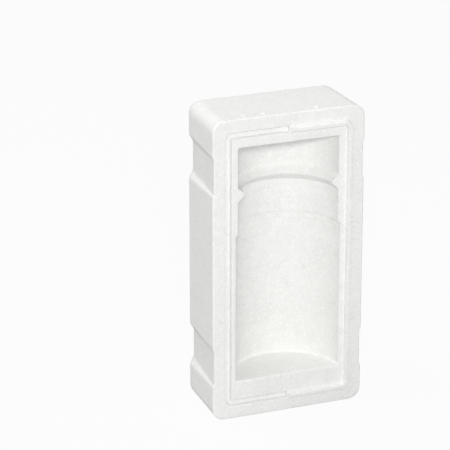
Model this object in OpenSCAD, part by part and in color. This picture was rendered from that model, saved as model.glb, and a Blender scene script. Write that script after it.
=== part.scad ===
// One half of a two-part moulded foam insert that ships a single round bottle.
// The half stands upright on its foot end, with its mating face towards -Y.
// Two equal halves close on each other: turned half a turn about the upright axis,
// the ridge of one half sits in the groove of the other.

/* [Bottle cavity] */
// Radius of the trough that holds the bottle's body
body_r = 33.5; // [20:0.25:60]
// Height of the body trough
body_h = 93; // [60:0.5:160]
// Height from the top of the body trough to the crest of the collar
shoulder_h = 26; // [14:0.5:50]
// Height from the crest of the collar to the cavity's ceiling
neck_h = 29; // [14:0.5:60]
// How much narrower the cavity is above the body trough, as a step in radius
shoulder_step = 1.3; // [0.5:0.1:3]
// How far the collar's crest stands in from the wall
collar_in = 4.3; // [2:0.1:6]
// Radius of the collar's crest
collar_crest_r = 1.5; // [0.5:0.1:1.9]
// Lean of the collar's upper flank from the upright, in degrees
collar_top_lean = 50; // [35:1:60]
// Lean of the collar's lower flank from the upright, in degrees
collar_under_lean = 45; // [35:1:60]

/* [Block] */
// Foam beside the body trough, at the mating face
side_wall = 15; // [13.5:0.5:30]
// Foam behind the body trough
back_wall = 15; // [10:0.5:30]
// Foam below the cavity
foot_wall = 24; // [14:0.5:40]
// Foam above the cavity
head_wall = 18; // [14:0.5:40]
// Radius of the outer edges and corners
edge_r = 7.5; // [3:0.5:12]
// Draft of the two long sides, in degrees
side_draft = 2; // [0.5:0.25:3]

/* [Sealing rim] */
// Distance of the ridge's middle line from the outline
rim_inset = 10; // [6:0.25:11]
// Width of the ridge where it meets the mating face
ridge_w = 3.4; // [2.4:0.1:4.4]
// Height of the ridge
ridge_h = 2.6; // [1.5:0.1:3.5]
// Radius of the ridge's middle line round a corner
ridge_bend_r = 3.5; // [3:0.1:8]
// Lean of the ridge's and groove's walls, in degrees
ridge_lean = 8; // [2:1:15]
// Play between ridge and groove, on each wall, at the bottom and at the ends
rim_play = 0.3; // [0.1:0.05:0.5]

/* [Finger recesses] */
// Distance of each recess from its end of the block, at the mating face
recess_inset = 22; // [18:0.5:40]
// Height of a recess's mouth at the mating face
recess_h = 24.5; // [18:0.5:30]
// Depth of a recess at the mating face
recess_front_d = 0.8; // [0.3:0.1:1]
// Depth of a recess where it runs out at the back
recess_d = 2.7; // [1.5:0.1:3.5]
// Lean of a recess's sloped ends from the long side, in degrees
recess_end_lean = 31; // [25:1:45]
// Draft by which the two ends open towards the back, in degrees
recess_end_draft = 5; // [3:0.5:8]

/* [Hidden] */
$fn = 96;

// Sides of the round edges of the block, and short runs in each round of a drawn outline
hull_fn = 32;
arc_steps = 8;

// Room by which a cutting shape runs past what it cuts
past = 3;

// Heights above the foot
step_z = foot_wall + body_h;
collar_z = step_z + shoulder_h;
ceiling_z = collar_z + neck_h;
block_h = ceiling_z + head_wall;

// Radius of the cavity above the body trough, and the block's half width and depth
neck_r = body_r - shoulder_step;
half_w = body_r + side_wall;
block_d = body_r + back_wall;

// Slope of the long sides. The recesses' floors lie on the sides of a narrower block, the waist:
// its slope, its half width at the mating face, and how far in its sides reach at the back
draft_slope = tan(side_draft);
waist_slope = draft_slope + (recess_d - recess_front_d) / block_d;
waist_half_w = half_w - recess_front_d;
recess_reach = recess_front_d + block_d * waist_slope;

// Groove: the ridge's section with play on each wall and at the bottom
groove_w = ridge_w + 2 * rim_play;
groove_h = ridge_h + rim_play;

// The origin is under the middle of the half's own box, ridge included
mating_y = (ridge_h - block_d) / 2;

// Middle of an outer edge's round: across, along a side of the given half width at the front
// and of the given slope, and how far back it lies at the back edge
function round_x(front, slope, y) = front - y * slope - edge_r / cos(atan(slope));
round_y = block_d - edge_r;

// Points of a round about a middle, between two angles from +X
function arc(middle, r, from, to) = [
    for (step = [0:arc_steps])
        let (angle = from + (to - from) * step / arc_steps)
            middle + r * [cos(angle), sin(angle)],
];

// Plan of a drafted block with its two back corners rounded
module plan(front, slope) {
    corner = arc([round_x(front, slope, round_y), round_y], edge_r, atan(slope), 90);
    for (side = [0, 1])
        mirror([side, 0])
            polygon(concat([[0, 0], [front, 0]], corner, [[0, block_d]]));
}

// Ball with its poles and its equator at the full radius
module ball(r) {
    rotate_extrude()
        intersection() {
            circle(r);
            translate([0, -r])
                square([r, 2 * r]);
        }
}

// Solid block with every outer edge rounded, apart from those round the mating face:
// a ball in each back corner, and a rod before the mating face for each long edge
module block() {
    intersection() {
        hull() {
            for (side = [-1, 1], z = [edge_r, block_h - edge_r]) {
                translate([side * round_x(half_w, draft_slope, round_y), round_y, z])
                    ball(edge_r, $fn = hull_fn);
                translate([side * round_x(half_w, draft_slope, -past), -past, z])
                    rotate([90, 0, 0])
                        cylinder(r = edge_r, h = past, $fn = hull_fn);
            }
        }
        translate([-half_w - past, 0, -past])
            cube([2 * (half_w + past), block_d + past, block_h + 2 * past]);
    }
}

// Everything above the lower end of a finger recess on the side of +X: the end slopes up towards
// the middle, and falls away towards the back
module above_recess_end() {
    rise = 1 / tan(recess_end_lean);
    outer = half_w + past;
    inner = half_w - recess_reach - past;
    rotate([90 - recess_end_draft, 0, 0])
        linear_extrude(4 * block_d, center = true)
            polygon([
                [inner, (recess_reach + past) * rise],
                [outer, -past * rise],
                [outer, 2 * recess_h],
                [inner, 2 * recess_h],
            ]);
}

// Finger recess on the side of +X, from its lower edge up: two sloped ends, and a floor
// that deepens towards the back
module finger_recess(z) {
    translate([0, 0, z])
        difference() {
            intersection() {
                above_recess_end();
                translate([0, 0, recess_h])
                    mirror([0, 0, 1])
                        above_recess_end();
            }
            linear_extrude(4 * recess_h, center = true)
                plan(waist_half_w, waist_slope);
        }
}

// Section of the collar, with its wall at x = 0 and its crest towards -X:
// two flanks that touch the round crest
module collar_section() {
    crest = arc(
        [collar_crest_r - collar_in, 0],
        collar_crest_r,
        180 - collar_top_lean,
        180 + collar_under_lean
    );
    top = crest[0];
    under = crest[arc_steps];
    polygon(concat(crest, [
        [past, under.y - (past - under.x) / tan(collar_under_lean)],
        [past, top.y + (past - top.x) / tan(collar_top_lean)],
    ]));
}

// Round cavity about the bottle's axis, which lies in the mating face
module bottle_cavity() {
    rotate_extrude()
        difference() {
            union() {
                translate([0, foot_wall])
                    square([neck_r, ceiling_z - foot_wall]);
                translate([0, foot_wall])
                    square([body_r, body_h]);
            }
            translate([neck_r, collar_z])
                collar_section();
        }
}

// Section of the ridge or groove, with its height along +Y and running on below its base
module rim_section(width, height) {
    lean = tan(ridge_lean);
    polygon([
        [-width / 2 - past * lean, -past],
        [width / 2 + past * lean, -past],
        [width / 2 - height * lean, height],
        [-width / 2 + height * lean, height],
    ]);
}

// Half of the rim's track, on the side of +X, from the head to the foot, starting and ending
// at the given distance from the middle line, with the section's height towards -Y
module rim_track(width, height, start) {
    run_x = half_w - rim_inset;
    levels = [rim_inset, block_h - rim_inset];
    bend_x = run_x - ridge_bend_r;
    translate([run_x, 0, levels[0] + ridge_bend_r])
        linear_extrude(levels[1] - levels[0] - 2 * ridge_bend_r)
            mirror([0, 1])
                rim_section(width, height);
    for (end = [0, 1])
        translate([0, 0, end * block_h])
            mirror([0, 0, end]) {
                translate([start, 0, rim_inset])
                    rotate([90, 0, 90])
                        linear_extrude(bend_x - start)
                            rotate(90)
                                rim_section(width, height);
                translate([bend_x, 0, rim_inset + ridge_bend_r])
                    rotate([90, 0, 0])
                        rotate_extrude(angle = -90)
                            translate([ridge_bend_r, 0])
                                rim_section(width, height);
            }
}

// The moulded half: block, finger recesses, bottle cavity, groove and ridge
module foam_half() {
    color("white")
        translate([0, mating_y, 0])
            union() {
                difference() {
                    block();
                    bottle_cavity();
                    for (side = [0, 1], z = [recess_inset, block_h - recess_inset - recess_h])
                        mirror([side, 0, 0])
                            finger_recess(z);
                    mirror([1, 0, 0])
                        mirror([0, 1, 0])
                            rim_track(groove_w, groove_h, 0);
                }
                rim_track(ridge_w, ridge_h, rim_play);
            }
}

foam_half();
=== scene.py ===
import math

import bmesh
import bpy
import numpy as np
from bpy.props import FloatProperty, FloatVectorProperty, IntProperty, PointerProperty
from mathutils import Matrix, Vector


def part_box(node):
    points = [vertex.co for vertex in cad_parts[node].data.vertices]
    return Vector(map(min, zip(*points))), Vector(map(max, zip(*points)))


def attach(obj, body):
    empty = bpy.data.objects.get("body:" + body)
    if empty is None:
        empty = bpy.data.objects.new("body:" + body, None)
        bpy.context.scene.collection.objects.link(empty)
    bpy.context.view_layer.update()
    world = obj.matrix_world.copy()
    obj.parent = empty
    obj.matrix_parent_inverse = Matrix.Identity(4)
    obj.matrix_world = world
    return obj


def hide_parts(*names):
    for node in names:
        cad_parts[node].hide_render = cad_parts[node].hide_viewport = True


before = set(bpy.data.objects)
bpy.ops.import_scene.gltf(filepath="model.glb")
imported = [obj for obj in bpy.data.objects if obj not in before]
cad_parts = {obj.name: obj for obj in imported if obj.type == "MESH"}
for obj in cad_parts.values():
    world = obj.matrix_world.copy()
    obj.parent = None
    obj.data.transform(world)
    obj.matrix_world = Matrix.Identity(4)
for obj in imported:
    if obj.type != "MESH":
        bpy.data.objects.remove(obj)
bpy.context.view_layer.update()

bl_info = {
    "name": "Foam bottle shipper half",
    "version": (1, 0, 0),
    "blender": (4, 5, 0),
    "location": "View3D > Sidebar > Foam half",
    "description": "Builds the looks of a moulded foam half with a cavity and a sealing rim",
    "category": "Object",
}

MM = 0.001
NODE = "foam_half"
BODY = "root"
FINISH = "fused_bead_foam"
LOW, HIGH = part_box(NODE)
RIDGE_HEIGHT = 2.6 * MM

# Vertices that lie closer than this become one
MERGE_GAP = 0.001 * MM

# Lines beside the middle of the foot and the head, where ridge and groove start
MIDDLE_LINES = MM * np.array(
    [0, 0.09, 0.18, 0.27, 0.35, 0.43, 0.52, 0.61, 0.72, 0.9, 1.3, 2.0, 3.0]
)

# Steps of the rounds: outer corners and fillets, small edges, foot and crest of the collar,
# soft edges of the mating face, and the back edge
CORNER_STEPS = 8
SMALL_STEPS = 3
COLLAR_STEPS = 4
CREST_STEPS = 6
SOFT_STEPS = 5
BACK_STEPS = 10

# Steps of the cavity's half turn, steps from its mouth to the rim's track, and lines between
# the track and the front edge
TURN_STEPS = 84
APRON_STEPS = 5
FACE_LINES = 5

# Length that the rounds at its ends take off a straight part of the cavity's outline
ROUND_ROOM = 2 * MM

# The strip of the mating face that carries ridge or groove: half its width, the points on each
# straight part of its section, and how far its lines have left the mouth's heights
TRACK_HALF = 2.8 * MM
TRACK_POINTS = (2, 4, 4, 4, 2)
TRACK_SHIFT = 0.2

# Lines at the ends of a finger recess: two distances from its creases, and the steps between
END_NEAR = 1.5 * MM
END_TIGHT = 0.35 * MM
END_LINES = (2, 7, 2)

# Round of a recess's creases, as a share of its depth, with the least and the largest
CREASE_SHARE = 0.3
CREASE_RANGE = (0.001 * MM, 0.5 * MM)

# Vent pips: places across the head in millimetres, rings, sides and the power of the fall
PIP_PLACES = (-27.0, -14.5, 19.5)
PIP_RINGS = 6
PIP_SIDES = 20
PIP_POWER = 4

# Whole numbers that scatter the beads' middles within their cells
CELL_FACTORS = np.array([73856093, 19349663, 83492791])
SEED_FACTOR = 2654435761
SHARE_FACTOR = 40503
SHARE_STEP = 97
SHARE_SHIFT = 7
SHARE_COUNT = 1009

# Beads of the finish: scatter of their middles, distances from a bead's edge at which the seam
# ends and the crown starts, and strength of a seam, its painted shade and its mattness, where it
# fades
BEAD_SCATTER = 0.9
SEAM_WIDTH = 0.11
CROWN_START = 0.3
SEAM_LEAST = 0.25

# Cloud over the seams and grain of the skin: scale to the metre, detail, and the part used
CLOUD_SCALE = 70.0
CLOUD_RANGE = (0.3, 0.7)
GRAIN_SCALE = 1300.0
GRAIN_RANGE = (0.3, 0.8)
NOISE_DETAIL = 3.0

# Small pits, darkened by painted shade: how many to a bead's length, their scatter, and the
# distances at which one ends
PIT_RATE = 0.45
PIT_SCATTER = 1.0
PIT_RANGE = (0.03, 0.09)

# How much the painted shade of seams and pits, own tone and grain darken a bead, raise it and
# change its roughness
SEAM_SHADE, OWN_DARK, GRAIN_DARK, PIT_SHADE = 0.42, 0.2, 0.25, 0.5
OWN_RISE, GRAIN_RISE, PIT_DROP = 0.4, 0.4, 0.8
OWN_GLOSS, SEAM_MATT = 0.14, 0.2

# Strength and height of the fine relief, and the reflection of the skin
RELIEF_STRENGTH = 0.4
RELIEF_HEIGHT = 0.12 * MM
FOAM_IOR = 1.4
FOAM_SPECULAR = 0.4

# Stage: half the side of the floor and its lines, width of the sensor in millimetres, and how
# far the camera sees
FLOOR_HALF = 3.0
FLOOR_LINES = 5
SENSOR_WIDTH = 36.0
SIGHT = 20.0
WHITE = (1.0, 1.0, 1.0, 1.0)


def length(name, size, description):
    """A size in metres that a user can change."""
    return FloatProperty(
        name=name, description=description, default=size, min=0.0, precision=5, unit="LENGTH"
    )


def tilt(name, degrees, description):
    """An angle that a user can change."""
    return FloatProperty(
        name=name, description=description, default=math.radians(degrees), subtype="ANGLE"
    )


def paint(name, colour, description):
    """A linear colour that a user can change."""
    return FloatVectorProperty(
        name=name, description=description, default=colour, size=3, min=0.0, max=1.0,
        subtype="COLOR",
    )


def portion(name, share, description):
    """A share from 0 to 1 that a user can change."""
    return FloatProperty(
        name=name, description=description, default=share, min=0.0, max=1.0, subtype="FACTOR"
    )


def spot(name, place, description):
    """A place in metres that a user can change."""
    return FloatVectorProperty(
        name=name, description=description, default=place, size=3, subtype="TRANSLATION"
    )


def lamp_power(name, watts, description):
    """The power of a lamp that a user can change."""
    return FloatProperty(
        name=name, description=description, default=watts, min=0.0, unit="POWER"
    )


class FoamShape(bpy.types.PropertyGroup):
    """Sizes of the moulded half, in its own frame."""

    half_width: length("Half width", HIGH.x, "From the middle to a long side, at the mating face")
    height: length("Height", HIGH.z, "From the foot to the head")
    depth: length("Depth", HIGH.y - LOW.y - RIDGE_HEIGHT, "From the mating face to the back")
    mating_y: FloatProperty(
        name="Mating face",
        description="Place of the mating face along Y",
        default=LOW.y + RIDGE_HEIGHT,
        unit="LENGTH",
        precision=5,
    )
    edge_radius: length("Edge radius", 7.5 * MM, "Round of the outer edges and corners")
    side_draft: tilt("Side draft", 2.0, "Draft of the two long sides")
    body_radius: length("Body radius", 33.5 * MM, "Radius of the body trough")
    neck_radius: length("Neck radius", 32.2 * MM, "Radius of the cavity above the body trough")
    floor_z: length("Floor", 24.0 * MM, "Height of the cavity's floor")
    step_z: length("Step", 117.0 * MM, "Height of the step at the top of the body trough")
    collar_z: length("Collar", 143.0 * MM, "Height of the collar's crest")
    ceiling_z: length("Ceiling", 172.0 * MM, "Height of the cavity's ceiling")
    collar_in: length("Collar reach", 4.3 * MM, "How far the collar's crest stands in")
    crest_radius: length("Crest radius", 1.5 * MM, "Round of the collar's crest")
    collar_top_lean: tilt("Collar top", 50.0, "Lean of its upper flank from the upright")
    collar_under_lean: tilt("Collar underside", 45.0, "Lean of its lower flank from the upright")
    fillet: length("Fillet", 1.5 * MM, "Round between the cavity's wall, floor and ceiling")
    collar_fillet: length("Collar fillet", 1.2 * MM, "Round at the foot of the collar's flanks")
    rim_inset: length("Rim inset", 10.0 * MM, "Distance of the rim's middle from the outline")
    bend_radius: length("Rim bend", 3.5 * MM, "Radius of the rim's middle line round a corner")
    ridge_width: length("Ridge width", 3.4 * MM, "Width of the ridge at the mating face")
    ridge_height: length("Ridge height", RIDGE_HEIGHT, "How far the ridge stands proud")
    rim_play: length("Rim play", 0.3 * MM, "Play between ridge and groove")
    rim_lean: tilt("Rim lean", 8.0, "Lean of the walls of ridge and groove")
    recess_inset: length("Recess inset", 22.0 * MM, "Distance of a finger recess from its end")
    recess_height: length("Recess height", 24.5 * MM, "Height of a recess at the mating face")
    recess_front: length("Recess front depth", 0.8 * MM, "Depth of a recess at the mating face")
    recess_depth: length("Recess depth", 2.7 * MM, "Depth of a recess at the back")
    recess_lean: tilt("Recess end lean", 31.0, "Lean of a recess's ends from the long side")
    recess_draft: tilt("Recess end draft", 5.0, "Draft by which the ends open to the back")
    pip_inset: length("Pip inset", 5.6 * MM, "Distance of the vent pips from the mating face")
    pip_radius: length("Pip radius", 1.5 * MM, "Radius of a vent pip")
    pip_height: length("Pip height", 0.5 * MM, "How far a vent pip stands proud")
    soft_edge: length("Soft edge", 0.8 * MM, "Round of the edges of the mating face")
    crease: length("Crease", 0.4 * MM, "Round of the small edges of step, ridge and groove")
    pitch: length("Pitch", 1.2 * MM, "Usual distance of two lines of the surface")
    bead_size: length("Bead size", 2.9 * MM, "Size of a fused bead")
    bead_relief: length("Bead relief", 0.07 * MM, "Depth of the seams between beads")
    bead_seed: IntProperty(
        name="Bead seed", description="Chooses the pattern of beads", default=7
    )


class FoamFinish(bpy.types.PropertyGroup):
    """Colours and roughness of the foam, with the darker colour that carries the painted shade of
    seams and pits.
    """

    foam: paint("Foam", (0.90, 0.90, 0.885), "Colour of a bead's crown")
    # Darker colour: painted shade in the seams and pits, and the dark end of the beads' own tone
    # and grain
    seam: paint("Seam", (0.74, 0.735, 0.72), "Colour in the seams between beads")
    roughness: portion("Roughness", 0.72, "Usual roughness of the skin")


class StageSettings(bpy.types.PropertyGroup):
    """Camera, light and floor."""

    camera_place: spot("Camera", (-0.56913, -1.35181, 0.66345), "Place of the camera")
    camera_turn: tilt("Camera turn", -21.681, "Turn of the camera about the upright axis")
    camera_tilt: tilt("Camera tilt", 20.605, "Tilt of the camera below the horizon")
    lens: FloatProperty(
        name="Lens",
        description="Focal length on a 36 mm sensor",
        default=208.0,
        min=1.0,
        unit="CAMERA",
    )
    key_power: lamp_power("Key", 14.5, "Power of the key lamp")
    key_place: spot("Key place", (-0.525, -1.39, 0.77), "Place of the key lamp")
    key_size: length("Key size", 0.24, "Side of the key lamp")
    top_power: lamp_power("Top", 13.9, "Power of the lamp overhead")
    top_place: spot("Top place", (-0.66, 0.15, 1.58), "Place of the lamp overhead")
    top_size: length("Top size", 1.4, "Side of the lamp overhead")
    sky: portion("Sky", 0.35, "Strength of the even light all round")
    floor: paint("Floor", (0.6, 0.6, 0.6), "Colour of the floor")
    floor_glow: portion("Floor glow", 0.94, "How far the floor shows white to the camera")


def smooth_min(a, b, reach):
    """The smaller of two fields with the crease between them rounded.

    Where the fields differ by less than the reach, a parabola that touches both takes over.
    """
    share = np.clip(0.5 + 0.5 * (b - a) / reach, 0.0, 1.0)
    return b + (a - b) * share - reach * share * (1.0 - share)


def smooth_step(field):
    """Rises from 0 to 1 as the field does, level at both ends: 3 t^2 - 2 t^3."""
    t = np.clip(field, 0.0, 1.0)
    return t * t * (3.0 - 2.0 * t)


def even(size, pitch):
    """Even shares that divide a size into steps no longer than the pitch."""
    return np.linspace(0.0, 1.0, max(1, math.ceil(size / pitch)) + 1)


def rounded_line(corners, radii, runs, turns):
    """Points along a line through corners, with each inner corner rounded.

    An arc takes the place of a corner. It starts radius * tan(turn / 2) before the corner, and
    its middle lies square to the line there, so it touches both sides. runs holds the shares at
    which each straight side is divided, and turns the number of steps of each arc. Returns the
    points, their normals to the right of the line's way and the index at which each arc starts.
    """
    corners = np.asarray(corners, float)
    sides = np.diff(corners, axis=0)
    headings = sides / np.linalg.norm(sides, axis=1)[:, None]
    points, ways, starts = [corners[:1]], [headings[:1]], []
    for side, heading in enumerate(headings):
        begin = points[-1][-1]
        inner = side < len(radii)
        reach = 0.0
        if inner:
            ahead = headings[side + 1]
            bend = math.atan2(heading[0] * ahead[1] - heading[1] * ahead[0], heading @ ahead)
            reach = radii[side] * math.tan(abs(bend) / 2)
        touch = corners[side + 1] - heading * reach
        points.append(begin + runs[side][1:, None] * (touch - begin))
        ways.append(np.broadcast_to(heading, points[-1].shape))
        if inner:
            starts.append(sum(map(len, points)) - 1)
            angle = np.linspace(0.0, bend, turns[side] + 1)[1:, None]
            way = np.cos(angle) * heading + np.sin(angle) * [-heading[1], heading[0]]
            radius = math.copysign(radii[side], bend)
            middle = touch + radius * np.array([-heading[1], heading[0]])
            points.append(middle - radius * np.stack([-way[:, 1], way[:, 0]], axis=1))
            ways.append(way)
    way = np.concatenate(ways)
    return np.concatenate(points), np.stack([way[:, 1], -way[:, 0]], axis=1), starts


def grid_faces(rows, columns, first, closed=False):
    """Four-sided faces of a grid of vertices stored row by row from the given index on."""
    row = np.arange(rows - 1)[:, None] * columns + first
    column = np.arange(columns if closed else columns - 1)[None, :]
    beside = (column + 1) % columns
    corners = (row + column, row + beside, row + columns + beside, row + columns + column)
    return np.stack(corners, axis=-1).reshape(-1, 4)


def bead_height(points, size, seed):
    """Height of the fused beads at each point, from 0 in a seam to 1 on a crown.

    The beads' middles are a cubic lattice, each moved within its own cell by seeded shares. The
    height is the difference of the distances to the nearest two middles, as a share of half the
    bead's size.
    """
    steps = np.stack(np.meshgrid(*[[-1, 0, 1]] * 3, indexing="ij"), axis=-1).reshape(-1, 3)
    cells = np.floor(points / size).astype(np.int64)[:, None, :] + steps
    mixed = (cells * CELL_FACTORS).sum(axis=2) + seed * SEED_FACTOR
    shares = np.stack([
        ((mixed * (2 * n + 1) * SHARE_FACTOR + n * SHARE_STEP) >> SHARE_SHIFT) % SHARE_COUNT
        for n in range(3)
    ], axis=-1) / SHARE_COUNT
    gaps = np.linalg.norm(points[:, None, :] - (cells + shares) * size, axis=2)
    nearest = np.partition(gaps, 1, axis=1)[:, :2]
    return np.clip((nearest[:, 1] - nearest[:, 0]) / (0.5 * size), 0.0, 1.0)


def mesh_piece(name, points, faces):
    """A smooth piece of four-sided faces, with seams and poles merged and its faces outwards."""
    mesh = bpy.data.meshes.new(name)
    mesh.vertices.add(len(points))
    mesh.vertices.foreach_set("co", points.astype(np.float32).ravel())
    mesh.loops.add(faces.size)
    mesh.loops.foreach_set("vertex_index", faces.astype(np.int32).ravel())
    mesh.polygons.add(len(faces))
    mesh.polygons.foreach_set("loop_start", np.arange(0, faces.size, 4, dtype=np.int32))
    mesh.update(calc_edges=True)
    work = bmesh.new()
    work.from_mesh(mesh)
    bmesh.ops.remove_doubles(work, verts=work.verts, dist=MERGE_GAP)
    bmesh.ops.recalc_face_normals(work, faces=work.faces)
    work.to_mesh(mesh)
    work.free()
    mesh.polygons.foreach_set("use_smooth", np.ones(len(mesh.polygons), bool))
    piece = bpy.data.objects.new(name, mesh)
    bpy.context.scene.collection.objects.link(piece)
    return piece


def raise_beads(mesh, s):
    """Sinks the seams between beads below their crowns.

    Each vertex moves in along its normal by the relief times what the beads' height lacks to 1.
    """
    points = np.empty(3 * len(mesh.vertices), np.float32)
    normals = np.empty_like(points)
    mesh.vertices.foreach_get("co", points)
    mesh.vertex_normals.foreach_get("vector", normals)
    points = points.reshape(-1, 3).astype(float)
    sink = s.bead_relief * (bead_height(points, s.bead_size, s.bead_seed) - 1.0)
    points += sink[:, None] * normals.reshape(-1, 3)
    mesh.vertices.foreach_set("co", points.astype(np.float32).ravel())
    mesh.update()


def flank_foot(s, lean, way):
    """Height at which a flank of the collar meets the wall: the upper for way 1, the lower for -1.

    The flank touches the round crest where the crest's normal is square to it, and runs on at
    its lean from the upright.
    """
    middle = s.neck_radius - s.collar_in + s.crest_radius
    touch_r = middle - s.crest_radius * math.cos(lean)
    touch_z = s.collar_z + way * s.crest_radius * math.sin(lean)
    return touch_z + way * (s.neck_radius - touch_r) / math.tan(lean)


def cavity_line(s):
    """Outline of the cavity from the middle of its floor to the middle of its ceiling.

    Points are (radius, height). Straight lines join the corners of trough, step, collar and
    neck, and arcs round them off. The shares of floor and ceiling lie closer at the middle,
    where the ends of ridge and groove meet on the mating face.
    """
    over, under = s.collar_top_lean, s.collar_under_lean
    top_z, low_z = flank_foot(s, over, 1), flank_foot(s, under, -1)
    tip = (top_z - low_z) / (1 / math.tan(over) + 1 / math.tan(under))
    corners = [
        (0.0, s.floor_z),
        (s.body_radius, s.floor_z),
        (s.body_radius, s.step_z),
        (s.neck_radius, s.step_z),
        (s.neck_radius, low_z),
        (s.neck_radius - tip, low_z + tip / math.tan(under)),
        (s.neck_radius, top_z),
        (s.neck_radius, s.ceiling_z),
        (0.0, s.ceiling_z),
    ]
    rounds = [
        (s.fillet, CORNER_STEPS),
        (s.crease, SMALL_STEPS),
        (s.crease, SMALL_STEPS),
        (s.collar_fillet, COLLAR_STEPS),
        (s.crest_radius, CREST_STEPS),
        (s.collar_fillet, COLLAR_STEPS),
        (s.fillet, CORNER_STEPS),
    ]
    radii, turns = zip(*rounds)
    across = middle_shares(s)
    sizes = np.linalg.norm(np.diff(corners, axis=0), axis=1)
    wall = [even(size - ROUND_ROOM, s.pitch) for size in sizes[1:-1]]
    return rounded_line(corners, radii, [across, *wall, 1.0 - across[::-1]], turns)


def middle_shares(s):
    """Shares of the lines across the foot and the head, from the middle to the corner.

    The lines beside the middle come first, and then even steps of the usual pitch.
    """
    reach = s.half_width - s.rim_inset - s.bend_radius
    rest = reach - MIDDLE_LINES[-1]
    lines = MIDDLE_LINES[-1] + even(rest, s.pitch)[1:] * rest
    return np.concatenate([MIDDLE_LINES, lines]) / reach


def side_shares(s, count):
    """Heights of the lines along a long side, at the mating face and at the back.

    They are shares of the side's straight part. The lines gather at the ends of the finger
    recesses, and follow their slopes towards the back.
    """
    rise = 1.0 / (math.tan(s.recess_lean) * math.cos(s.recess_draft))
    taper = s.depth * math.tan(s.side_draft)
    drop = s.depth * math.tan(s.recess_draft)
    mouth = np.array([0.0, taper * rise - drop])
    floor = np.array([s.recess_front * rise, (taper + s.recess_depth) * rise - drop])
    end = np.stack([mouth - END_NEAR, mouth - END_TIGHT, floor + END_TIGHT, floor + END_NEAR])
    heights = [np.full((1, 2), s.edge_radius)]
    for bottom in recess_bottoms(s):
        heights += [bottom + end, bottom + s.recess_height - end[::-1]]
    heights = np.concatenate([*heights, np.full((1, 2), s.height - s.edge_radius)])
    weights = np.diff(heights[:, 0]) / s.pitch
    weights[1:].reshape(-1, len(end))[:, :-1] = END_LINES
    at = np.concatenate([[0.0], np.cumsum(weights)]) / np.sum(weights)
    lines_at = np.linspace(0.0, 1.0, count)
    straight = s.height - 2 * s.edge_radius
    return tuple((np.interp(lines_at, at, z) - s.edge_radius) / straight for z in heights.T)


def recess_bottoms(s):
    """Heights of the lower edges of the two finger recesses on a side, at the mating face."""
    return s.recess_inset, s.height - s.recess_inset - s.recess_height


def recess_cut(s, y, z):
    """Depth of the finger recesses below the drafted side.

    The floor deepens evenly from the mating face to the back. The two ends slope in towards the
    middle and open towards the back. The depth is the smallest of the three fields and not less
    than 0, with the creases rounded more where the recess is deeper.
    """
    lean = math.tan(s.recess_lean) * math.cos(s.recess_draft)
    floor = s.recess_front + y * (s.recess_depth - s.recess_front) / s.depth
    reach = np.clip(CREASE_SHARE * floor, *CREASE_RANGE)
    deepest = np.zeros(np.broadcast_shapes(y.shape, z.shape))
    for bottom in recess_bottoms(s):
        inside = np.minimum(z - bottom, bottom + s.recess_height - z)
        inside = inside + y * math.tan(s.recess_draft)
        ends = inside * lean - y * math.tan(s.side_draft)
        cut = -smooth_min(-smooth_min(floor, ends, reach), 0.0, reach)
        deepest = np.maximum(deepest, cut)
    return deepest


def rim_line(s, half_width, rise):
    """Section of ridge or groove as (place towards the outside, depth).

    The walls come in by the rise times the tangent of their lean, and four arcs round its edges.
    """
    narrow = half_width - abs(rise) * math.tan(s.rim_lean)
    corners = [
        (-TRACK_HALF, 0), (-half_width, 0), (-narrow, rise),
        (narrow, rise), (half_width, 0), (TRACK_HALF, 0),
    ]
    edges = len(corners) - 2
    runs = [np.linspace(0.0, 1.0, count) for count in TRACK_POINTS]
    return rounded_line(corners, [s.crease] * edges, runs, [SMALL_STEPS] * edges)[0]


def rounded_ring(half_width, low, high, radius, across, upright):
    """Right half of rounded rectangles, one a row, from the middle below to the middle above.

    across holds the shares along the lower and upper side, upright those along the long side.
    Round each corner the angle grows evenly.
    """
    half_width, low, high, radius = (
        np.reshape(value, (-1, 1)) for value in (half_width, low, high, radius)
    )
    turn = np.linspace(0.0, math.pi / 2, CORNER_STEPS + 1)[None, 1:]
    middle = half_width - radius
    x = [
        middle * across,
        middle + radius * np.sin(turn),
        half_width + 0 * upright[:, 1:],
        middle + radius * np.cos(turn),
        middle * across[::-1][1:],
    ]
    z = [
        low + 0 * across,
        low + radius * (1 - np.cos(turn)),
        low + radius + upright[:, 1:] * (high - low - 2 * radius),
        high - radius * (1 - np.sin(turn)),
        high + 0 * across[1:],
    ]
    return np.concatenate(x, axis=1), np.concatenate(z, axis=1)


def lip_rows(s, mouth, normals, quarter):
    """Rows that round off the cavity's mouth.

    They start on the wall and move out along the outline's normals by 1 - cos of the quarter
    turn, while Y falls to the face by 1 - sin, both times the soft edge.
    """
    quarter = quarter[:, None]
    out = s.soft_edge * (1 - np.cos(quarter))
    return (
        mouth[:, 0] + normals[:, 0] * out,
        s.soft_edge * (1 - np.sin(quarter)) + 0 * mouth[:, 0],
        mouth[:, 1] + normals[:, 1] * out,
    )


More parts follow.
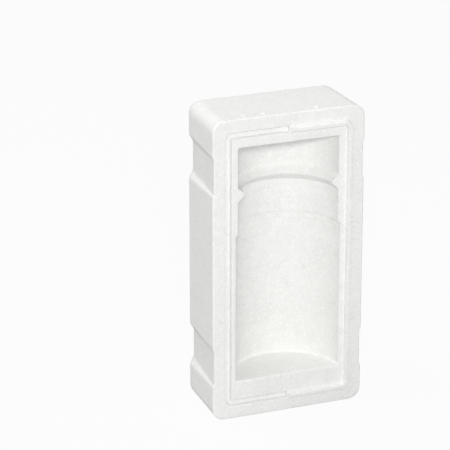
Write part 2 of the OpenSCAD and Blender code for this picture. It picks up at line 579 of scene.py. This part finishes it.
def face_rows(s, inner, front, quarter, groove):
    """Rows of the mating face from the rim's track to the front edge.

    The section of ridge or groove is carried round a rounded rectangle, and rises smoothly
    beside the middle of the foot and the head. The rest of the face is flat, and a quarter round
    leads over to the sides. From row to row the lines along the long side go over from the
    mouth's heights to those of the side.
    """
    half = s.ridge_width / 2 + (s.rim_play if groove else 0.0)
    rise = s.ridge_height + s.rim_play if groove else -s.ridge_height
    begin = 0.0 if groove else s.rim_play
    section = rim_line(s, half, rise)
    track_start, track_end = s.rim_inset + TRACK_HALF, s.rim_inset - TRACK_HALF
    inset = np.concatenate([
        s.rim_inset - section[:, 0],
        np.linspace(track_end, s.soft_edge, FACE_LINES + 2)[1:-1],
        s.soft_edge * (1 - np.sin(quarter)),
    ])
    depth = np.concatenate([
        section[:, 1],
        np.zeros(FACE_LINES),
        s.soft_edge * (1 - np.cos(quarter)),
    ])[:, None]
    radius = np.where(
        inset > track_end,
        s.bend_radius + s.rim_inset - inset,
        np.interp(inset, [0.0, track_end], [s.edge_radius, s.bend_radius + TRACK_HALF]),
    )
    shift = smooth_step((track_start - inset) / (track_start - s.soft_edge))[:, None]
    upright = inner + (TRACK_SHIFT + (1.0 - TRACK_SHIFT) * shift) * (front - inner)
    x, z = rounded_ring(
        s.half_width - inset, inset, s.height - inset, radius, middle_shares(s), upright
    )
    on_track = np.arange(len(inset))[:, None] < len(section)
    y = np.where(on_track, depth * smooth_step((x - begin) / s.crease), depth)
    near_side = np.clip(1.0 - inset / track_end, 0.0, 1.0)[:, None] * (x > s.half_width / 2)
    return x - near_side * recess_cut(s, np.maximum(y, 0.0), z), y, z


def side_rows(s, front, back):
    """Rows over the drafted sides with their finger recesses and round the back edge.

    Y grows evenly up to the back edge. There it grows with the sine of a quarter turn, while the
    outline comes in by 1 - cos, both times the edge's radius.
    """
    round_y = s.depth - s.edge_radius
    run = s.soft_edge + even(round_y - s.soft_edge, s.pitch)[1:] * (round_y - s.soft_edge)
    bend = np.linspace(0.0, math.pi / 2, BACK_STEPS + 1)[1:]
    y = np.concatenate([run, round_y + s.edge_radius * np.sin(bend)])
    inset = np.concatenate([0 * run, s.edge_radius * (1 - np.cos(bend))])
    wide = s.half_width - np.minimum(y, round_y) * math.tan(s.side_draft) - inset
    upright = front + (y / s.depth)[:, None] * (back - front)
    x, z = rounded_ring(
        wide, inset, s.height - inset, s.edge_radius - inset, middle_shares(s), upright
    )
    y = y[:, None] + 0 * x
    return x - recess_cut(s, y, z) * (x > s.half_width / 2), y, z


def half_skin(s, mouth, normals, marks, groove):
    """Skin on one side of the middle, as rows from the cavity's mouth over the face to the back.

    Straight lines join the mouth's round to the rim's track. Y is measured from the mating face.
    """
    first, last = marks[0] + CORNER_STEPS, marks[1]
    inner = (mouth[first:last + 1, 1] - mouth[first, 1]) / (mouth[last, 1] - mouth[first, 1])
    front, back = side_shares(s, last - first + 1)
    quarter = np.linspace(0.0, math.pi / 2, SOFT_STEPS + 1)
    lip = lip_rows(s, mouth, normals, quarter)
    face = face_rows(s, inner, front, quarter, groove)
    share = np.linspace(0.0, 1.0, APRON_STEPS + 1)[1:-1, None]
    apron = [edge[-1] + share * (ring[0] - edge[-1]) for edge, ring in zip(lip, face)]
    rows = (lip, apron, face, side_rows(s, front, back))
    return np.stack([np.concatenate(parts) for parts in zip(*rows)], axis=-1)


def cavity_skin(s, line, marks):
    """Wall, floor and ceiling of the cavity: the outline turned about the upright axis.

    The axis lies in the mating face, and the turn stops short of the face by the mouth's round.
    Floor and ceiling are the last ring of the wall drawn in towards a point at the same distance
    from the face.
    """
    first, last = marks[0], marks[1] + CORNER_STEPS
    radius = line[first:last + 1, :1]
    spare = np.arcsin(s.soft_edge / radius)
    angle = spare + np.linspace(0.0, 1.0, TURN_STEPS + 1) * (math.pi - 2 * spare)
    x, y = radius * np.cos(angle), radius * np.sin(angle)
    parts = []
    for ring, radii in ((0, line[:first, :1]), (-1, line[last + 1:, :1])):
        share = radii / radius[ring]
        parts.append((share * x[ring], s.soft_edge + share * (y[ring] - s.soft_edge)))
    x = np.concatenate([parts[0][0], x, parts[1][0]])
    y = np.concatenate([parts[0][1], y, parts[1][1]])
    return np.stack([x, y, line[:, 1:] + 0 * x], axis=-1)


def foam_surface(s):
    """Points and faces of the whole moulded half.

    The skin runs as a closed ring of lines round the cavity's mouth, the right half with the
    ridge and the left half with the groove. The cavity fills the ring's inner end, and a plain
    grid on the back its outer end.
    """
    line, normals, arcs = cavity_line(s)
    marks = (arcs[0], arcs[-1])
    cavity = cavity_skin(s, line, marks)
    mouth = cavity[:, 0, [0, 2]]
    right = half_skin(s, mouth, normals, marks, groove=False)
    left = half_skin(s, mouth, normals, marks, groove=True) * [-1, 1, 1]
    ring = np.concatenate([right, left[:, -2:0:-1]], axis=1)

    across = middle_shares(s)
    shares = np.concatenate([-across[:0:-1], across])
    edge = right[-1, marks[0] + CORNER_STEPS:marks[1] + 1]
    back = np.stack([
        edge[:, :1] * shares, edge[:, 1:2] + 0 * shares, edge[:, 2:] + 0 * shares,
    ], axis=-1)

    points, faces, first = [], [], 0
    for grid, closed in ((ring, True), (cavity, False), (back, False)):
        points.append(grid.reshape(-1, 3))
        faces.append(grid_faces(*grid.shape[:2], first, closed))
        first += len(points[-1])
    return np.concatenate(points) + [0, s.mating_y, 0], np.concatenate(faces)


def pip_surface(places, radius, height, sink):
    """Shallow round pips at the given places.

    The height falls with the fourth power of the distance from the middle to the rim, and the
    skirt runs on below the face to a flat underside.
    """
    share = np.concatenate([np.linspace(0.0, 1.0, PIP_RINGS), [1.0, 0.0]])[:, None]
    turn = np.linspace(0.0, 2 * math.pi, PIP_SIDES, endpoint=False)
    rise = height * (1.0 - share ** PIP_POWER) + 0 * turn
    rise[-2:] = -sink
    pip = np.stack([radius * share * np.cos(turn), radius * share * np.sin(turn), rise], axis=-1)
    points = pip[None] + np.asarray(places)[:, None, None, :]
    face = grid_faces(len(pip), PIP_SIDES, 0, closed=True)
    first = np.arange(len(places))[:, None, None] * pip.shape[0] * pip.shape[1]
    return points.reshape(-1, 3), (face[None] + first).reshape(-1, 4)


class Wire:
    """A socket of a node tree. Arithmetic on it adds Math nodes, and node adds any other node."""

    def __init__(self, tree, socket=None):
        self.tree = tree
        self.socket = socket

    def node(self, kind, inputs=None, output=0, **settings):
        """Adds a node: its settings, then its inputs' values or links. Returns one output."""
        made = self.tree.nodes.new(kind)
        for name, value in settings.items():
            setattr(made, name, value)
        for name, value in (inputs or {}).items():
            if isinstance(value, Wire):
                self.tree.links.new(value.socket, made.inputs[name])
            else:
                made.inputs[name].default_value = value
        return Wire(self.tree, made.outputs[output] if len(made.outputs) else None)

    def math(self, operation, first, second):
        """Adds a Math node on two wires or numbers."""
        return self.node("ShaderNodeMath", {0: first, 1: second}, operation=operation)

    def __add__(self, other):
        return self.math("ADD", self, other)

    def __sub__(self, other):
        return self.math("SUBTRACT", self, other)

    def __rsub__(self, other):
        return self.math("SUBTRACT", other, self)

    def __mul__(self, other):
        return self.math("MULTIPLY", self, other)

    __radd__ = __add__
    __rmul__ = __mul__

    def larger(self, other):
        """The larger of two fields."""
        return self.math("MAXIMUM", self, other)

    def between(self, low, high):
        """This field brought to 0 at low and 1 at high, with level ends."""
        return self.node(
            "ShaderNodeMapRange",
            {"Value": self, "From Min": low, "From Max": high},
            interpolation_type="SMOOTHSTEP",
        )

    def tint(self, colour, other):
        """Goes from one colour to another as this field goes from 0 to 1."""
        return self.node(
            "ShaderNodeMix",
            {0: self, 6: (*colour, 1.0), 7: (*other, 1.0)},
            output=2,
            data_type="RGBA",
        )


def empty_material(name):
    """A material with no nodes yet, and its tree as a wire."""
    material = bpy.data.materials.new(name)
    material.use_nodes = True
    material.node_tree.nodes.clear()
    return material, Wire(material.node_tree)


def foam_material(name, bead_size, finish):
    """Fused white beads: each has its own tone, and fine seams darkened by painted shade part them.

    The beads are Voronoi cells of the piece's own coordinates. A soft cloud lets the seams fade
    and return, a fine grain breaks up the skin, and small pits lie here and there. The same fields
    darken, roughen and raise the skin; the darkening of seams and pits is painted shade.
    """
    material, tree = empty_material(name)
    place = tree.node("ShaderNodeTexCoord", output="Object")

    def cells(rate, scatter, feature, output):
        """Voronoi cells, so many to a bead's length."""
        inputs = {"Vector": place, "Scale": rate / bead_size, "Randomness": scatter}
        return tree.node("ShaderNodeTexVoronoi", inputs, output, feature=feature)

    def noise(scale):
        """A cloudy field from 0 to 1."""
        inputs = {"Vector": place, "Scale": scale, "Detail": NOISE_DETAIL}
        return tree.node("ShaderNodeTexNoise", inputs, "Fac")

    own_colour = cells(1.0, BEAD_SCATTER, "F1", "Color")
    own = tree.node("ShaderNodeSeparateColor", {"Color": own_colour}, "Red")
    gap = cells(1.0, BEAD_SCATTER, "DISTANCE_TO_EDGE", "Distance")
    cloud = noise(CLOUD_SCALE)
    grain = noise(GRAIN_SCALE)
    # Small pits, sunk in the relief and darkened with painted shade
    shaded_pit = 1.0 - cells(PIT_RATE, PIT_SCATTER, "F1", "Distance").between(*PIT_RANGE)
    kept = SEAM_LEAST + (1.0 - SEAM_LEAST) * cloud.between(*CLOUD_RANGE)
    # Mask of the seams, which get painted shade in the colour and a matter skin
    seam = (1.0 - gap.between(0.0, SEAM_WIDTH)) * kept
    # Painted shade in seams and pits, with the beads' own tone and grain, darkens the colour
    dark = (
        SEAM_SHADE * seam
        + OWN_DARK * own
        + GRAIN_DARK * grain.between(*GRAIN_RANGE)
        + PIT_SHADE * shaded_pit
    )
    crown = gap.between(0.0, CROWN_START)
    skin = tree.node("ShaderNodeBump", {
        "Strength": RELIEF_STRENGTH,
        "Distance": RELIEF_HEIGHT,
        "Height": crown + OWN_RISE * own + GRAIN_RISE * grain - PIT_DROP * shaded_pit,
    })
    shader = tree.node("ShaderNodeBsdfPrincipled", {
        "Base Color": dark.tint(finish.foam, finish.seam),
        "Roughness": finish.roughness - OWN_GLOSS * own + SEAM_MATT * seam,
        "Normal": skin,
        "IOR": FOAM_IOR,
        "Specular IOR Level": FOAM_SPECULAR,
    })
    tree.node("ShaderNodeOutputMaterial", {"Surface": shader})
    return material


def set_floor(stage):
    """A level square grid, white to the camera apart from the shadow that falls on it."""
    span = np.linspace(-FLOOR_HALF, FLOOR_HALF, FLOOR_LINES)
    x, y = np.meshgrid(span, span)
    points = np.stack([x, y, 0 * x], axis=-1).reshape(-1, 3)
    floor = mesh_piece("floor", points, grid_faces(FLOOR_LINES, FLOOR_LINES, 0))
    material, tree = empty_material("pale_floor")
    matt = tree.node("ShaderNodeBsdfDiffuse", {"Color": (*stage.floor, 1.0)})
    white = tree.node("ShaderNodeEmission", {"Color": WHITE, "Strength": 1.0})
    seen = seen_directly(tree)
    shader = tree.node("ShaderNodeMixShader", {0: stage.floor_glow * seen, 1: matt, 2: white})
    tree.node("ShaderNodeOutputMaterial", {"Surface": shader})
    floor.data.materials.append(material)


def seen_directly(tree):
    """1 for what the camera sees, also in a mirror or through glass, and 0 for light on its way."""
    camera, glossy, through = (
        tree.node("ShaderNodeLightPath", output=name)
        for name in ("Is Camera Ray", "Is Glossy Ray", "Is Transmission Ray")
    )
    return camera.larger(glossy).larger(through)


def set_sky(scene, stage):
    """Even light from all round, and plain white where the camera looks past the floor."""
    world = bpy.data.worlds.new("even_light")
    world.use_nodes = True
    world.node_tree.nodes.clear()
    tree = Wire(world.node_tree)
    strength = stage.sky + (1.0 - stage.sky) * seen_directly(tree)
    light = tree.node("ShaderNodeBackground", {"Color": WHITE, "Strength": strength})
    tree.node("ShaderNodeOutputWorld", {"Surface": light})
    scene.world = world


def add_lamp(name, power, place, size):
    """A square soft lamp that faces the middle of the part."""
    lamp = bpy.data.lights.new(name, "AREA")
    lamp.energy = power
    lamp.size = size
    holder = bpy.data.objects.new(name, lamp)
    holder.location = place
    middle = Vector((0.0, 0.0, HIGH.z / 2))
    holder.rotation_euler = (middle - holder.location).to_track_quat("-Z", "Y").to_euler()
    bpy.context.scene.collection.objects.link(holder)


def set_camera(scene, stage):
    """A long lens, level from side to side."""
    camera = bpy.data.cameras.new("camera")
    camera.lens = stage.lens
    camera.sensor_width = SENSOR_WIDTH
    camera.clip_end = SIGHT
    holder = bpy.data.objects.new("camera", camera)
    holder.location = stage.camera_place
    holder.rotation_euler = (math.pi / 2 - stage.camera_tilt, 0.0, stage.camera_turn)
    scene.collection.objects.link(holder)
    scene.camera = holder


class FOAM_OT_moulded_half(bpy.types.Operator):
    """Builds the moulded half with its cavity, ridge, groove and finger recesses"""

    bl_idname = "foam.moulded_half"
    bl_label = "Moulded half"

    def execute(self, context):
        s = context.scene.foam_shape
        points, faces = foam_surface(s)
        piece = mesh_piece("moulded_half", points, faces)
        raise_beads(piece.data, s)
        material = foam_material(FINISH, s.bead_size, context.scene.foam_finish)
        piece.data.materials.append(material)
        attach(piece, BODY)
        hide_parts(NODE)
        return {"FINISHED"}


class FOAM_OT_vent_pips(bpy.types.Operator):
    """Adds the small round pips that the mould's steam vents leave on the head"""

    bl_idname = "foam.vent_pips"
    bl_label = "Vent pips"

    def execute(self, context):
        s = context.scene.foam_shape
        places = [(x * MM, s.mating_y + s.pip_inset, s.height) for x in PIP_PLACES]
        points, faces = pip_surface(places, s.pip_radius, s.pip_height, s.pip_height)
        piece = mesh_piece("vent_pips", points, faces)
        piece.data.materials.append(bpy.data.materials[FINISH])
        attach(piece, BODY)
        return {"FINISHED"}


class FOAM_OT_stage(bpy.types.Operator):
    """Sets up the floor, the light and the camera"""

    bl_idname = "foam.stage"
    bl_label = "Stage"

    def execute(self, context):
        scene = context.scene
        stage = scene.foam_stage
        scene.view_settings.view_transform = "Standard"
        set_floor(stage)
        set_sky(scene, stage)
        add_lamp("key", stage.key_power, stage.key_place, stage.key_size)
        add_lamp("overhead", stage.top_power, stage.top_place, stage.top_size)
        set_camera(scene, stage)
        return {"FINISHED"}


class FOAM_PT_panel(bpy.types.Panel):
    """Lists the pieces and their settings"""

    bl_idname = "FOAM_PT_panel"
    bl_label = "Foam half"
    bl_space_type = "VIEW_3D"
    bl_region_type = "UI"
    bl_category = "Foam half"

    def draw(self, context):
        scene = context.scene
        for operator in OPERATORS:
            self.layout.operator(operator.bl_idname)
        for group in (scene.foam_shape, scene.foam_finish, scene.foam_stage):
            box = self.layout.box()
            for name in group.__annotations__:
                box.prop(group, name)


OPERATORS = (FOAM_OT_moulded_half, FOAM_OT_vent_pips, FOAM_OT_stage)
GROUPS = {"foam_shape": FoamShape, "foam_finish": FoamFinish, "foam_stage": StageSettings}


def register():
    """Makes the classes known, and gives each scene its settings."""
    for kind in (*GROUPS.values(), *OPERATORS, FOAM_PT_panel):
        bpy.utils.register_class(kind)
    for name, kind in GROUPS.items():
        setattr(bpy.types.Scene, name, PointerProperty(type=kind))


def unregister():
    """Takes the settings and the classes away again."""
    for name in GROUPS:
        delattr(bpy.types.Scene, name)
    for kind in reversed((*GROUPS.values(), *OPERATORS, FOAM_PT_panel)):
        bpy.utils.unregister_class(kind)


def main():
    """Builds everything in order."""
    register()
    bpy.ops.foam.moulded_half()
    bpy.ops.foam.vent_pips()
    bpy.ops.foam.stage()


if __name__ == "__main__":
    main()
